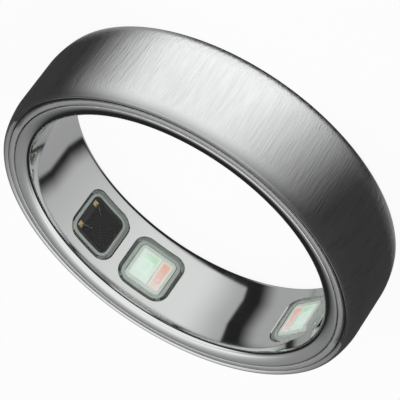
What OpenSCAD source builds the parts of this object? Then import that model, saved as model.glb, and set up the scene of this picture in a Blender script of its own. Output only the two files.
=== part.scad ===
// Health-tracking finger ring: two bonded titanium shells around a curved battery,
// a flexible circuit board and four optical sensor windows on the palm side.
// Frame: the finger passes along Z, the palm side is -Y, the back of the hand is +Y.
// The origin is the middle of the finger bore. The places of the inner pieces are
// counted as arcs or angles from the palm line, positive towards +X.

/* [Ring] */
// Diameter of the finger bore
bore_d = 21.4; // [20.6:0.1:23.2]
// Width of the band along the finger
band_w = 6.3; // [6.2:0.05:8]
// Radial thickness of the band
band_t = 2.2; // [2.15:0.05:2.9]

/* [Shells] */
// Wall of the polished inner shell
inner_wall = 0.3; // [0.25:0.01:0.34]
// Wall of the brushed outer shell where it seats on the end rings
outer_wall = 0.7; // [0.62:0.01:0.72]
// Depth of the relief inside the outer shell
relief_depth = 0.15; // [0.13:0.01:0.25]
// Width of each seat left beside that relief
seat_w = 0.75; // [0.6:0.01:0.85]
// Rounding of the bore's lips
lip_round = 0.5; // [0.4:0.01:0.6]
// Thickness of the inner shell's flanges, along the finger
flange_t = 0.4; // [0.35:0.01:0.45]
// Radial width of each end ring
end_ring_w = 0.45; // [0.35:0.01:0.5]
// Radial drop of the outer shell's shoulders
shoulder_drop = 0.555; // [0.45:0.005:0.56]
// Length of each shoulder along the finger
shoulder_w = 1.56; // [1.3:0.01:1.8]
// Chamfer that breaks the edges at a seam
edge_break = 0.04; // [0.02:0.005:0.05]
// Thickness of the adhesive seal behind each end ring
seal_t = 0.2; // [0.15:0.01:0.22]
// Radial width of that seal
seal_w = 0.75; // [0.6:0.01:0.9]

/* [Sensor windows] */
// Side of each square window
window_w = 3.95; // [3.6:0.01:4.05]
// Rounding of a window's corners
window_round = 1; // [0.7:0.05:1.3]
// Height of a window's middle above the bore's wall
window_proud = 0.15; // [0.08:0.01:0.18]
// Fall of a window's crown towards its front and rear edges
window_crown = 0.12; // [0.08:0.01:0.15]
// Width of the flange that holds a window behind the wall
window_flange_w = 0.2; // [0.15:0.01:0.22]
// Thickness of that flange
window_flange_t = 0.15; // [0.1:0.01:0.18]
// Arc of bore wall between neighbouring windows
window_wall = 0.75; // [0.7:0.05:1]

/* [Light emitters] */
// Side of the square emitter package
package_w = 2.7; // [2.5:0.01:2.8]
// Depth of its face below the bore's wall
package_depth = 0.2; // [0.15:0.01:0.25]
// Width of the green well across the finger
green_well_w = 1.35; // [1.2:0.01:1.4]
// Width of the red well across the finger
red_well_w = 0.73; // [0.65:0.01:0.75]
// Length of both wells along the finger
well_l = 2.1; // [1.9:0.01:2.2]
// Depth of both wells
well_depth = 0.35; // [0.25:0.01:0.4]
// Wall between the two wells
well_rib = 0.13; // [0.1:0.01:0.15]
// Thickness of the light-emitting chips
led_t = 0.12; // [0.1:0.01:0.15]

/* [Light detectors] */
// Width of a detector's substrate across the finger
substrate_w = 2.95; // [2.8:0.01:3]
// Length of the substrate along the finger
substrate_l = 2.9; // [2.7:0.01:3]
// Thickness of the substrate
substrate_t = 0.3; // [0.25:0.01:0.32]
// Width of the silicon chip across the finger
silicon_w = 2.2; // [2:0.01:2.25]
// Length of the silicon chip along the finger
silicon_l = 2.4; // [2.2:0.01:2.5]
// Thickness of the silicon chip
silicon_t = 0.2; // [0.15:0.01:0.22]
// Side of each gold bond pad
pad_w = 0.38; // [0.3:0.01:0.4]
// Thickness of each gold bond pad
pad_t = 0.02; // [0.01:0.005:0.03]
// Diameter of a bond wire
wire_d = 0.04; // [0.03:0.005:0.05]
// Diameter of the ball that ends a bond wire
ball_d = 0.16; // [0.12:0.01:0.18]

/* [Board] */
// Room beside the board and battery, at the front and the rear
board_side_gap = 0.3; // [0.25:0.01:0.4]
// Thickness of the flexible board
board_t = 0.1; // [0.08:0.01:0.12]
// Thickness of a sensor's stiff carrier
carrier_t = 0.18; // [0.14:0.01:0.2]
// Width of a carrier across the finger
carrier_w = 3.3; // [3.1:0.01:3.4]
// Arc of board beyond the outer carriers
tail_arc = 8.6; // [8.5:0.05:9]
// Room between neighbouring chips
chip_gap = 0.25; // [0.2:0.01:0.27]
// Room on the board between the palm side's chips and an emitter's carrier
palm_gap = 1; // [0.8:0.05:1.3]

/* [Battery and charging coil] */
// Arc between the board's end and the battery
battery_gap_arc = 1.2; // [1:0.05:1.5]
// Rounding of the battery's long edges
battery_round = 0.2; // [0.1:0.01:0.3]
// Length of the sealed terrace at each end of the battery
terrace_l = 0.8; // [0.6:0.01:1]
// Thickness of that terrace
terrace_t = 0.2; // [0.15:0.01:0.25]
// Thickness of the tabs that join the battery to the board
tab_t = 0.08; // [0.05:0.01:0.1]
// Turns of the charging coil
coil_turns = 5; // [3:1:6]
// Half of the coil's arc
coil_half_arc = 10; // [8:0.1:11]
// Thickness of the coil's track
coil_t = 0.05; // [0.03:0.005:0.06]
// Width of the coil's track
track_w = 0.16; // [0.12:0.01:0.2]
// Step from one turn of the coil to the next
track_pitch = 0.3; // [0.25:0.01:0.32]
// Thickness of the film that carries the coil
film_t = 0.03; // [0.02:0.005:0.04]
// Thickness of the ferrite sheet behind the coil
ferrite_t = 0.1; // [0.08:0.01:0.12]
// Thickness of the insulating sleeve round the battery
sleeve_t = 0.05; // [0.03:0.01:0.06]

/* [Antenna] */
// Arc between the antenna's end and the middle of a light barrier
antenna_gap = 0.8; // [0.5:0.05:2]
// Width of the antenna's strip
antenna_w = 0.5; // [0.4:0.01:0.7]
// Thickness of the strip
antenna_t = 0.08; // [0.05:0.01:0.09]
// Room between the strip and the front edge of the board
antenna_inset = 0.7; // [0.5:0.01:0.9]

/* [Hidden] */
$fn = 180;

// Clearances, and how far a cutter passes the face that it cuts
seam_gap = 0.02;
part_gap = 0.03;
overrun = 1;

// Chips, each as width across the finger, length along the finger, and thickness
processor = [3, 3.2, 0.45];
memory = [1.9, 2.6, 0.4];
optical_chip = [2, 2.2, 0.45];
accelerometer_size = [2, 2, 0.55];
crystal_size = [0.9, 1.2, 0.35];
power_chip_size = [2, 2, 0.45];
charging_chip_size = [1.5, 1.8, 0.4];
protection_chip_size = [1.1, 1.6, 0.35];
inductor = [1, 1.6, 0.55];
capacitor = [0.3, 0.6, 0.3];
thermistor = [0.5, 1, 0.35];
thermal_pad_w = 0.8;
thermal_pad_l = 1.3;
capacitor_pitch = 0.85;
capacitors_in_row = 4;
green_led_size = [0.7, 0.85];
red_led_size = [0.5, 0.65];
red_led_offset = 0.5;
wire_rise = 0.18;
stitch_d = 0.12;
ball_inset = 0.56;
ball_offset = 0.64;
pad_side_inset = 0.24;
pad_end_inset = 0.32;
silicon_inset = 0.12;

// Tabs, coil leads and the antenna's legs
tab_w = 0.8;
tab_offset = 1.1;
tab_landing_arc = 1;
lead_t = 0.08;
antenna_leg_w = 0.5;
antenna_leg_arc = 1.5;
antenna_leg_l = 1.6;
antenna_foot_w = 0.3;

// Shells
bore_r = bore_d / 2;
half_w = band_w / 2;
outer_r = bore_r + band_t;
inner_shell_r = bore_r + inner_wall;
seat_r = outer_r - outer_wall;
relief_r = seat_r + relief_depth;
flange_r = seat_r - end_ring_w;
flange_z = half_w - flange_t;
relief_half = half_w - seat_w;
cavity_half = flange_z - seal_t;

// A shoulder is a long arc that turns a little, then a tight arc that turns the rest
shoulder_turn = 20;
shoulder_rise = sin(shoulder_turn);
shoulder_run = 1 - cos(shoulder_turn);
shoulder_slope = shoulder_rise / shoulder_run;
tight_r = (shoulder_slope * shoulder_drop - shoulder_w)
    / (shoulder_slope * cos(shoulder_turn) - 1 + shoulder_rise);
long_r = (shoulder_drop - tight_r * cos(shoulder_turn)) / shoulder_run;
arc_steps = 10;

// The board: its inside carries the parts, and its outside faces the outer shell
board_outer_r = seat_r - part_gap - sleeve_t - seam_gap;
board_r = board_outer_r - board_t;
board_l = 2 * (cavity_half - board_side_gap);

// Windows
window_pitch = window_w + window_wall;
palm_left = [processor.x / 2, capacitor.x, memory.x];
palm_right = [processor.x / 2, capacitor.x, optical_chip.x];
palm_arc = in_line(0, palm_right, 2) + optical_chip.x / 2;
emitter_angle = arc_angle(palm_arc + palm_gap + carrier_w / 2, board_r);
detector_angle = emitter_angle + arc_angle(window_pitch, bore_r);
barrier_angle = (emitter_angle + detector_angle) / 2;
window_face = bore_r - window_proud;
window_back_r = inner_shell_r + seam_gap + window_flange_t;
window_flange = window_w + 2 * window_flange_w;
window_edge = window_w / 2;
crown_r = (pow(window_edge, 2) + pow(window_crown, 2)) / (2 * window_crown);
barrier_w = window_pitch - window_flange - 2 * part_gap;

// Flat carriers touch the round board with their edges, and the sensors stand on them
carrier_back = seat(carrier_w, board_r);
carrier_face = carrier_back - carrier_t;
package_face = bore_r + package_depth;
well_floor = package_face + well_depth;
green_well_y = (well_rib + red_well_w) / 2;
red_well_y = -(well_rib + green_well_w) / 2;
substrate_face = carrier_face - substrate_t;
silicon_face = substrate_face - silicon_t;
silicon_y = -(substrate_w - silicon_w) / 2 + silicon_inset;
pad_y = substrate_w / 2 - pad_side_inset - pad_w / 2;
pad_z = substrate_l / 2 - pad_end_inset - pad_w / 2;
ball_y = silicon_y + silicon_w / 2 - ball_inset;

// Arcs along the board's inside, where the chips stand in line
carrier_end_arc = board_r * detector_angle * PI / 180 + carrier_w / 2;
board_end_arc = carrier_end_arc + tail_arc;
board_angle = arc_angle(board_end_arc, board_r);
battery_angle = arc_angle(board_end_arc + battery_gap_arc, board_r);
battery_body_angle = arc_angle(board_end_arc + battery_gap_arc + terrace_l, board_r);
tail_left = [accelerometer_size.x, thermal_pad_w, crystal_size.x, protection_chip_size.x, capacitor.x];
tail_right = [power_chip_size.x, thermal_pad_w, charging_chip_size.x, inductor.x, capacitor.x];

// Coil, film, crossing lead, ferrite sheet, battery and sleeve lie over each other
coil_r = inner_shell_r + part_gap;
film_r = coil_r + coil_t;
crossing_r = film_r + film_t;
ferrite_r = crossing_r + coil_t + seam_gap;
battery_r = ferrite_r + ferrite_t + part_gap;
battery_outer_r = board_outer_r;
sleeve_r = battery_outer_r + seam_gap;
coil_half_l = board_l / 2 - track_w;
coil_step_angle = arc_angle(track_pitch, coil_r);
coil_half_angle = arc_angle(coil_half_arc, coil_r);
track_angle = arc_angle(track_w, coil_r);
film_half_angle = coil_half_angle + track_angle;
crossing_z = coil_half_l - coil_turns * track_pitch;
coil_inner_angle = 180 - coil_half_angle + (coil_turns - 1) * coil_step_angle;
lead_angle = arc_angle(board_end_arc + battery_gap_arc / 2, board_r);
landing_angle = arc_angle(board_end_arc - tab_landing_arc, board_r);

// The antenna lies in the relief, over the palm side of the board
antenna_r = relief_r - part_gap - antenna_t;
antenna_z = board_l / 2 - antenna_inset;
antenna_angle = barrier_angle - arc_angle(antenna_gap, antenna_r);
antenna_leg_angle = arc_angle(antenna_leg_w, antenna_r);
antenna_feed_angle = antenna_angle - arc_angle(antenna_leg_arc + antenna_leg_w, antenna_r);

chip_tint = [0.12, 0.12, 0.13];
copper_tint = [0.8, 0.45, 0.25];

// Angle that an arc of a given length covers at a given radius
function arc_angle(length, radius) = length / radius * 180 / PI;

// How far out a flat piece of a given width can stand inside a round wall
function seat(width, radius) = sqrt(pow(radius - seam_gap, 2) - pow(width / 2, 2));

// Sum of the first values of a list
function sum_to(values, count) = count == 0 ? 0 : values[count - 1] + sum_to(values, count - 1);

// Arc at which the piece with a given index stands, in a line of pieces with equal gaps
function in_line(start, widths, index) =
    start + sum_to(widths, index) + index * chip_gap + widths[index] / 2;

// Points of an arc
function arc(centre, radius, from, to) =
    [for (i = [0:arc_steps])
        let (a = from + (to - from) * i / arc_steps)
        centre + radius * [cos(a), sin(a)]];

// Outline of a rectangle with round corners, about the origin
function rounded(size, r) =
    let (x = size.x / 2 - r, y = size.y / 2 - r)
    concat(
        arc([x, y], r, 0, 90), arc([-x, y], r, 90, 180),
        arc([-x, -y], r, 180, 270), arc([x, -y], r, 270, 360)
    );

// Mirrors a profile's points to the rear, in the opposite order
function to_rear(points) = [for (i = [len(points) - 1:-1:0]) [points[i].x, -points[i].y]];

// Turns a piece drawn along +X to its angle from the palm line
module at(angle) rotate([0, 0, angle - 90]) children();

// Places one side's copy: the right one as drawn, the left one mirrored
module on_side(side, angle) {
    if (side == "left") mirror([1, 0, 0]) at(angle) children();
    else at(angle) children();
}

// A flat block that faces the finger, between two distances from the axis
module slab(near, far, w, l, y = 0, z = 0)
    translate([near, y - w / 2, z - l / 2]) cube([far - near, w, l]);

// A block with round corners that faces the finger
module prism(near, far, w, r)
    translate([near, 0, 0]) rotate([90, 0, 90]) linear_extrude(far - near) polygon(rounded([w, w], r));

// A strip that follows the ring between two angles
module band(r, t, l, from, to, z = 0)
    rotate_extrude(start = from - 90, angle = to - from)
        translate([r, z - l / 2]) square([t, l]);

// A chip on the inside of the board, at an arc from the palm line
module chip(size, arc_at, z = 0)
    at(arc_angle(arc_at, board_r))
        slab(seat(size.x, board_r) - size[2], seat(size.x, board_r), size.x, size.y, 0, z);

module outer_shell() color("darkgray") {
    front = concat(
        [[relief_r, relief_half], [seat_r, relief_half],
            [seat_r, half_w - edge_break], [seat_r + edge_break, half_w]],
        shoulder()
    );
    rotate_extrude() polygon(concat(front, to_rear(front)));
}

// Shoulder of the outer shell, from the front face round to the outer surface
function shoulder() =
    let (
        long_centre = [outer_r - long_r, half_w - shoulder_w],
        tight_centre = long_centre + (long_r - tight_r) * [cos(shoulder_turn), shoulder_rise],
        tight = arc(tight_centre, tight_r, 90, shoulder_turn),
        long = arc(long_centre, long_r, shoulder_turn, 0)
    )
    concat(tight, [for (i = [1:arc_steps]) long[i]]);

module inner_shell() color("gainsboro") {
    front = concat(
        arc([bore_r + lip_round, half_w - lip_round], lip_round, 180, 90),
        [[flange_r - edge_break, half_w], [flange_r, half_w - edge_break],
            [flange_r, flange_z], [inner_shell_r, flange_z]]
    );
    difference() {
        rotate_extrude() polygon(concat(front, to_rear(front)));
        for (side = ["left", "right"])
            for (angle = [emitter_angle, detector_angle])
                on_side(side, angle)
                    prism(bore_r - overrun, inner_shell_r + overrun, window_w, window_round);
    }
}

module end_ring() color("gray") {
    near = flange_r + seam_gap;
    far = seat_r - seam_gap;
    rotate_extrude() polygon([
        [near, flange_z], [far, flange_z], [far, half_w - edge_break],
        [far - edge_break, half_w], [near + edge_break, half_w], [near, half_w - edge_break]
    ]);
}

module seal() color("dimgray")
    rotate_extrude()
        translate([seat_r - seam_gap - seal_w, cavity_half]) square([seal_w, seal_t]);

// A window: a body crowned along the finger, held by a flange behind the inner shell's
// wall, with a pocket for what stands behind it
module window(side, angle, pocket_w, pocket_face) color([0.25, 0.35, 0.3, 0.5])
    on_side(side, angle) difference() {
        intersection() {
            cylinder(r = window_back_r, h = band_w, center = true);
            union() {
                intersection() {
                    prism(
                        window_face - overrun, window_back_r + overrun,
                        window_w - 2 * seam_gap, window_round - seam_gap
                    );
                    translate([window_face + crown_r, 0, 0]) rotate([90, 0, 0])
                        cylinder(r = crown_r, h = band_w, center = true);
                }
                difference() {
                    prism(bore_r - overrun / 2, window_back_r + overrun / 2, window_flange, window_round);
                    cylinder(r = inner_shell_r + seam_gap, h = band_w, center = true);
                }
            }
        }
        slab(pocket_face, window_back_r + overrun, pocket_w, pocket_w);
    }

module emitter_window(side)
    window(side, emitter_angle, package_w + 2 * part_gap, package_face - part_gap);

module detector_window(side)
    window(side, detector_angle, silicon_w, silicon_face - wire_rise - wire_d - part_gap);

module detector_substrate(side) color([0.35, 0.36, 0.36])
    on_side(side, detector_angle) slab(substrate_face, carrier_face, substrate_w, substrate_l);

module detector_chip(side) color([0.05, 0.05, 0.07])
    on_side(side, detector_angle)
        slab(silicon_face, substrate_face, silicon_w, silicon_l, silicon_y);

module bond_pads(side) color("gold")
    on_side(side, detector_angle)
        for (z = [-pad_z, pad_z]) slab(substrate_face - pad_t, substrate_face, pad_w, pad_w, pad_y, z);

// Half a ball that stands on a face towards the finger
module bond_ball(place, size)
    translate(place) intersection() {
        sphere(d = size);
        slab(-size, 0, size, size);
    }

// Each wire rises in an arc from its gold pad to a ball on the silicon chip
module bond_wires(side) color("silver") {
    foot = [substrate_face - pad_t, pad_y, pad_z];
    head = [silicon_face, ball_y, ball_offset];
    lift = [-wire_d, 0, 0];
    span = foot - head;
    across = norm(span);
    bend_r = (pow(across / 2, 2) + pow(wire_rise, 2)) / (2 * wire_rise);
    half_turn = asin(across / 2 / bend_r);
    on_side(side, detector_angle) for (flip = [0, 1]) mirror([0, 0, flip]) {
        translate((foot + head) / 2 + lift)
            rotate([atan2(span.z, span.y), 0, 0]) rotate([0, 0, -asin(span.x / across)])
                translate([bend_r - wire_rise, 0, 0])
                    rotate_extrude(start = 180 - half_turn, angle = 2 * half_turn)
                        translate([bend_r, 0]) circle(d = wire_d);
        bond_ball(head, ball_d);
        bond_ball(foot, stitch_d);
    }
}

module emitter_package(side) color("white")
    on_side(side, emitter_angle) difference() {
        slab(package_face, carrier_face, package_w, package_w);
        slab(package_face - overrun, well_floor, green_well_w, well_l, green_well_y);
        slab(package_face - overrun, well_floor, red_well_w, well_l, red_well_y);
    }

module led(side, size, y, z = 0)
    on_side(side, emitter_angle) slab(well_floor - led_t, well_floor, size.x, size.y, y, z);

module green_led(side) color([0.1, 0.9, 0.4]) led(side, green_led_size, green_well_y);

module red_led(side) color([0.95, 0.15, 0.1]) led(side, red_led_size, red_well_y, red_led_offset);

module infrared_led(side) color([0.5, 0.1, 0.15])
    led(side, red_led_size, red_well_y, -red_led_offset);

// Clear resin that fills both wells round the light-emitting chips
module emitter_resin(side) color([0.8, 0.9, 0.85, 0.4])
    difference() {
        on_side(side, emitter_angle) {
            slab(package_face, well_floor, green_well_w, well_l, green_well_y);
            slab(package_face, well_floor, red_well_w, well_l, red_well_y);
        }
        green_led(side);
        red_led(side);
        infrared_led(side);
    }

module carrier(side, angle) color([0.1, 0.3, 0.2])
    on_side(side, angle) slab(carrier_face, carrier_back, carrier_w, board_l);

// Black wall that keeps the emitters' light from reaching the detectors directly
module light_barrier(side) color("black")
    on_side(side, barrier_angle)
        slab(inner_shell_r + seam_gap, seat(barrier_w, board_r), barrier_w, board_l);

module flex_board() color([0.1, 0.35, 0.2])
    band(board_r, board_t, board_l, -board_angle, board_angle);

module main_processor() color(chip_tint) chip(processor, 0);

module memory_chip() color(chip_tint) chip(memory, -in_line(0, palm_left, 2));

module optical_front_end() color(chip_tint) chip(optical_chip, in_line(0, palm_right, 2));

module tail_chip(size, widths, index, z = 0)
    chip(size, in_line(carrier_end_arc + chip_gap, widths, index), z);

module left_tail_chip(size, index) mirror([1, 0, 0]) tail_chip(size, tail_left, index);

module accelerometer() color(chip_tint) left_tail_chip(accelerometer_size, 0);

module crystal() color("silver") left_tail_chip(crystal_size, 2);

module protection_chip() color(chip_tint) left_tail_chip(protection_chip_size, 3);

module power_chip() color(chip_tint) tail_chip(power_chip_size, tail_right, 0);

module charging_chip() color(chip_tint) tail_chip(charging_chip_size, tail_right, 2);

module inductors() color("dimgray")
    for (turn = [-1, 1]) tail_chip(inductor, tail_right, 3, turn * (inductor.y + chip_gap) / 2);

// Rows of ceramic capacitors beside the processor and at both ends of the board
module capacitors() color("tan")
    for (i = [0:capacitors_in_row - 1]) {
        z = (i - (capacitors_in_row - 1) / 2) * capacitor_pitch;
        chip(capacitor, in_line(0, palm_right, 1), z);
        chip(capacitor, -in_line(0, palm_left, 1), z);
        tail_chip(capacitor, tail_right, 4, z);
        mirror([1, 0, 0]) tail_chip(capacitor, tail_left, 4, z);
    }

module thermistor(side) color("black")
    on_side(side, thermal_angle())
        slab(seat(thermistor.x, board_r) - thermistor[2], seat(thermistor.x, board_r),
            thermistor.x, thermistor.y);

module thermal_pad(side) color("lightsteelblue")
    on_side(side, thermal_angle())
        slab(inner_shell_r + seam_gap, seat(thermistor.x, board_r) - thermistor[2],
            thermal_pad_w, thermal_pad_l);

// Both thermistors stand second in their line
function thermal_angle() =
    arc_angle(in_line(carrier_end_arc + chip_gap, tail_right, 1), board_r);

// Curved pouch cell with rounded long edges and a thin sealed terrace at each end
module battery() color("silver") {
    middle_r = (battery_r + battery_outer_r) / 2;
    rotate_extrude(start = battery_body_angle - 90, angle = 360 - 2 * battery_body_angle)
        translate([middle_r, 0])
            polygon(rounded([battery_outer_r - battery_r, board_l], battery_round));
    band(
        board_r - tab_t - terrace_t, terrace_t, board_l - 2 * battery_round,
        battery_angle, 360 - battery_angle
    );
}

module battery_tabs() color("silver")
    for (z = [-tab_offset, tab_offset]) mirror([1, 0, 0])
        band(board_r - tab_t, tab_t, tab_w, landing_angle, battery_body_angle, z);

module insulating_sleeve() color([0.85, 0.7, 0.2])
    band(sleeve_r, sleeve_t, board_l, battery_angle, 360 - battery_angle);

// One unbroken rectangular spiral, laid round the inner shell
module charging_coil() color(copper_tint)
    for (i = [0:coil_turns - 1]) {
        from = 180 - coil_half_angle + max(i - 1, 0) * coil_step_angle;
        near = 180 - coil_half_angle + i * coil_step_angle;
        far = 360 - near;
        z = coil_half_l - i * track_pitch;
        coil_run(from, far, z);
        coil_run(near, far, -z);
        coil_riser(far, -z, z);
        coil_riser(near, -z, z - track_pitch);
    }

module coil_run(from, to, z)
    band(coil_r, coil_t, track_w, from - track_angle / 2, to + track_angle / 2, z);

module coil_riser(angle, low, high)
    band(
        coil_r, coil_t, high - low + track_w,
        angle - track_angle / 2, angle + track_angle / 2, (low + high) / 2
    );

module coil_film() color([0.75, 0.45, 0.1]) difference() {
    band(film_r, film_t, board_l, 180 - film_half_angle, 180 + film_half_angle);
    at(coil_inner_angle) slab(coil_r, battery_r, track_w, track_w, 0, crossing_z);
}

// Two leads from the coil's ends to the board; the inner one crosses behind the film
module coil_leads() color(copper_tint) {
    coil_lead(coil_r, coil_half_l, 180 - coil_half_angle - track_angle / 2);
    coil_lead(crossing_r, crossing_z, coil_inner_angle + track_angle / 2);
    via_w = track_w - 2 * seam_gap;
    at(coil_inner_angle) slab(film_r, crossing_r + coil_t / 2, via_w, via_w, 0, crossing_z);
}

module coil_lead(r, z, end_angle) {
    band(r, coil_t, track_w, lead_angle, end_angle, z);
    at(lead_angle) slab(r, board_r - lead_t / 2, lead_t, track_w, 0, z);
    band(board_r - lead_t, lead_t, track_w, landing_angle, lead_angle, z);
}

module ferrite_sheet() color([0.25, 0.24, 0.23])
    band(ferrite_r, ferrite_t, board_l, 180 - film_half_angle, 180 + film_half_angle);

// Strip antenna with a grounded leg at its end and a feed leg beside it
module antenna() color("goldenrod") {
    band(antenna_r, antenna_t, antenna_w, -antenna_angle, antenna_angle, antenna_z);
    for (angle = [antenna_angle, antenna_feed_angle]) {
        leg_z = antenna_z + antenna_w / 2 - antenna_leg_l / 2;
        band(antenna_r, antenna_t, antenna_leg_l, angle - antenna_leg_angle, angle, leg_z);
        at(angle - antenna_leg_angle / 2)
            slab(board_outer_r, antenna_r + antenna_t / 2, antenna_foot_w, antenna_foot_w,
                0, antenna_z + antenna_w / 2 - antenna_leg_l + antenna_foot_w);
    }
}

outer_shell();
inner_shell();
end_ring();  // front_end_ring
mirror([0, 0, 1]) end_ring();  // rear_end_ring
seal();  // front_seal
mirror([0, 0, 1]) seal();  // rear_seal
detector_window("left");  // left_detector_window
emitter_window("left");  // left_emitter_window
emitter_window("right");  // right_emitter_window
detector_window("right");  // right_detector_window
detector_substrate("left");  // left_detector_substrate
detector_substrate("right");  // right_detector_substrate
detector_chip("left");  // left_detector_chip
detector_chip("right");  // right_detector_chip
bond_pads("left");  // left_bond_pads
bond_pads("right");  // right_bond_pads
bond_wires("left");  // left_bond_wires
bond_wires("right");  // right_bond_wires
emitter_package("left");  // left_emitter_package
emitter_package("right");  // right_emitter_package
green_led("left");  // left_green_led
green_led("right");  // right_green_led
red_led("left");  // left_red_led
red_led("right");  // right_red_led
infrared_led("left");  // left_infrared_led
infrared_led("right");  // right_infrared_led
emitter_resin("left");  // left_emitter_resin
emitter_resin("right");  // right_emitter_resin
carrier("left", detector_angle);  // left_detector_carrier
carrier("left", emitter_angle);  // left_emitter_carrier
carrier("right", emitter_angle);  // right_emitter_carrier
carrier("right", detector_angle);  // right_detector_carrier
light_barrier("left");  // left_light_barrier
light_barrier("right");  // right_light_barrier
flex_board();
main_processor();
memory_chip();
optical_front_end();
accelerometer();
crystal();
power_chip();
charging_chip();
protection_chip();
inductors();
capacitors();
thermistor("left");  // left_thermistor
thermistor("right");  // right_thermistor
thermal_pad("left");  // left_thermal_pad
thermal_pad("right");  // right_thermal_pad
battery();
battery_tabs();
insulating_sleeve();
charging_coil();
coil_film();
coil_leads();
ferrite_sheet();
antenna();
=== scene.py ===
# %% [markdown]
# This ring is two thin metal shells, one brushed and one polished, closed round a battery
# and a small circuit board. Four clear windows on the palm side of the bore let light
# sensors look at the finger. The construction model is loaded first and stays where it is.
# What the eye sees most, the shells and the windows, is then built again more finely over it.
# Units are metres in Blender, so every size below is written in millimetres and scaled.

# %% Load the ring
import math

import bmesh
import bpy
from mathutils import Matrix, Vector


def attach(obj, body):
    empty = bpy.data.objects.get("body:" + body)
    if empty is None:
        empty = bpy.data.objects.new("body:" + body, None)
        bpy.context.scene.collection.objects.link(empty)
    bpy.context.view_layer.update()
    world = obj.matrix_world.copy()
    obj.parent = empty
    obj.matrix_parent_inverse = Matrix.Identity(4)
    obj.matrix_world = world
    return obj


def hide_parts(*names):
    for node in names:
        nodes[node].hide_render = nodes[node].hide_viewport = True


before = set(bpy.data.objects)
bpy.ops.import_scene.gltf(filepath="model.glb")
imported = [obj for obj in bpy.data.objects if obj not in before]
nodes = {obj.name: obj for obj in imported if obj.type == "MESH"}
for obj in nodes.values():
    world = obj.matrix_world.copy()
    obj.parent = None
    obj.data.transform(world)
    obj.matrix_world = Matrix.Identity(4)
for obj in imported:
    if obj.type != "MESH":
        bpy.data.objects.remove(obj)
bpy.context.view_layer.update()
MM = 0.001

# %% [markdown]
# The view looks down into the bore from the front, with a long lens, as jewellery is
# usually pictured. A long lens a little way off keeps the circle of the rim from swelling
# towards the viewer. The camera is turned on its own axis so that the ring leans.

# %% Camera
LENS = 227.1
camera = bpy.data.objects.new("Camera", bpy.data.cameras.new("Camera"))
bpy.context.scene.collection.objects.link(camera)
right = Vector((0.84378, -0.20069, -0.49775))
up = Vector((-0.26141, 0.65630, -0.70777))
back = Vector((0.46872, 0.72731, 0.50131))
camera.matrix_world = Matrix((right, up, back)).transposed().to_4x4()
camera.location = Vector((75.302, 116.951, 80.125)) * MM
camera.data.lens = LENS
camera.data.sensor_width = 36
camera.data.clip_start = 0.005
camera.data.clip_end = 20
bpy.context.scene.camera = camera
print("Camera stands", round(camera.location.length / MM, 1), "mm from the middle of the ring")

# %% [markdown]
# The main sizes of the shells, in millimetres. The bore is 21.4 mm across, the band is
# 6.3 mm wide and 2.2 mm thick. The front and the rear of the ring are alike.

# %% Sizes of the shells
BORE_R = 10.7
HALF_W = 3.15
OUTER_R = 12.9
INNER_SHELL_R = 11.0
SEAT_R = 12.2
RELIEF_R = 12.35
RELIEF_HALF = 2.4
FLANGE_R = 11.75
FLANGE_Z = 2.75
SEAM = 0.02
EDGE = 0.06
TURN_STEPS = 360
print("Wall of the whole band:", round(OUTER_R - BORE_R, 2), "mm")

# %% [markdown]
# Every shell of a ring is a turned part: one closed outline, swept once round the finger's
# axis. In Blender that is a few vertices joined by edges, rounded with a vertex bevel where
# the real part is rounded, and then spun. Spinning gives an even mesh that shades well,
# which a polished surface needs more than anything else.

# %% Helpers for turned pieces
def face_outwards(mesh):
    """Turns every face of a closed mesh outwards; inside out, its volume is negative."""
    bmesh.ops.recalc_face_normals(mesh, faces=mesh.faces)
    if mesh.calc_volume(signed=True) < 0:
        bmesh.ops.reverse_faces(mesh, faces=mesh.faces)


def outline(points):
    """A new mesh that holds one closed outline of (radius, height) points in millimetres."""
    mesh = bmesh.new()
    corners = [mesh.verts.new((radius * MM, 0, height * MM)) for radius, height in points]
    for first, second in zip(corners, corners[1:] + corners[:1]):
        mesh.edges.new((first, second))
    return mesh


def soften(mesh, parts, reach, steps, affect="EDGES"):
    """Rounds edges or corners; reach, in millimetres, is how far off the rounding starts."""
    return bmesh.ops.bevel(
        mesh, geom=parts, offset=reach * MM, affect=affect, segments=steps, profile=0.5,
        material=-1,
    )


def round_corner(mesh, radius, height, reach, steps):
    """Rounds the outline's corner at a place."""
    place = Vector((radius, 0, height)) * MM
    corner = min(mesh.verts, key=lambda vertex: (vertex.co - place).length)
    soften(mesh, [corner], reach, steps, "VERTICES")


def turn(mesh):
    """Spins the outline once round the finger's axis."""
    bmesh.ops.spin(
        mesh, geom=mesh.verts[:] + mesh.edges[:], cent=(0, 0, 0), axis=(0, 0, 1),
        angle=math.tau, steps=TURN_STEPS, use_merge=True,
    )
    face_outwards(mesh)


def turned_shell(half, roundings):
    """A shell that is alike at the front and the rear, from the outline of its front half."""
    mesh = outline(half + [(radius, -height) for radius, height in reversed(half)])
    for side in (1, -1):
        for radius, height, reach, steps in roundings:
            round_corner(mesh, radius, side * height, reach, steps)
    turn(mesh)
    return mesh


def object_of(name, mesh):
    """Turns a finished mesh into an object of the scene."""
    data = bpy.data.meshes.new(name)
    mesh.to_mesh(data)
    mesh.free()
    made = bpy.data.objects.new(name, data)
    bpy.context.scene.collection.objects.link(made)
    return made


def add_piece(name, mesh, material, sharp=30, node=None):
    """A piece that rides on the ring and stands for the node of its name, or for another."""
    piece = object_of(name, mesh)
    piece.data.shade_smooth()
    piece.data.set_sharp_from_angle(angle=math.radians(sharp))
    piece.data.materials.append(material)
    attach(piece, "root")
    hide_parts(node or name.replace("-", "_"))
    print(name, "has", len(piece.data.polygons), "faces")
    return piece

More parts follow.
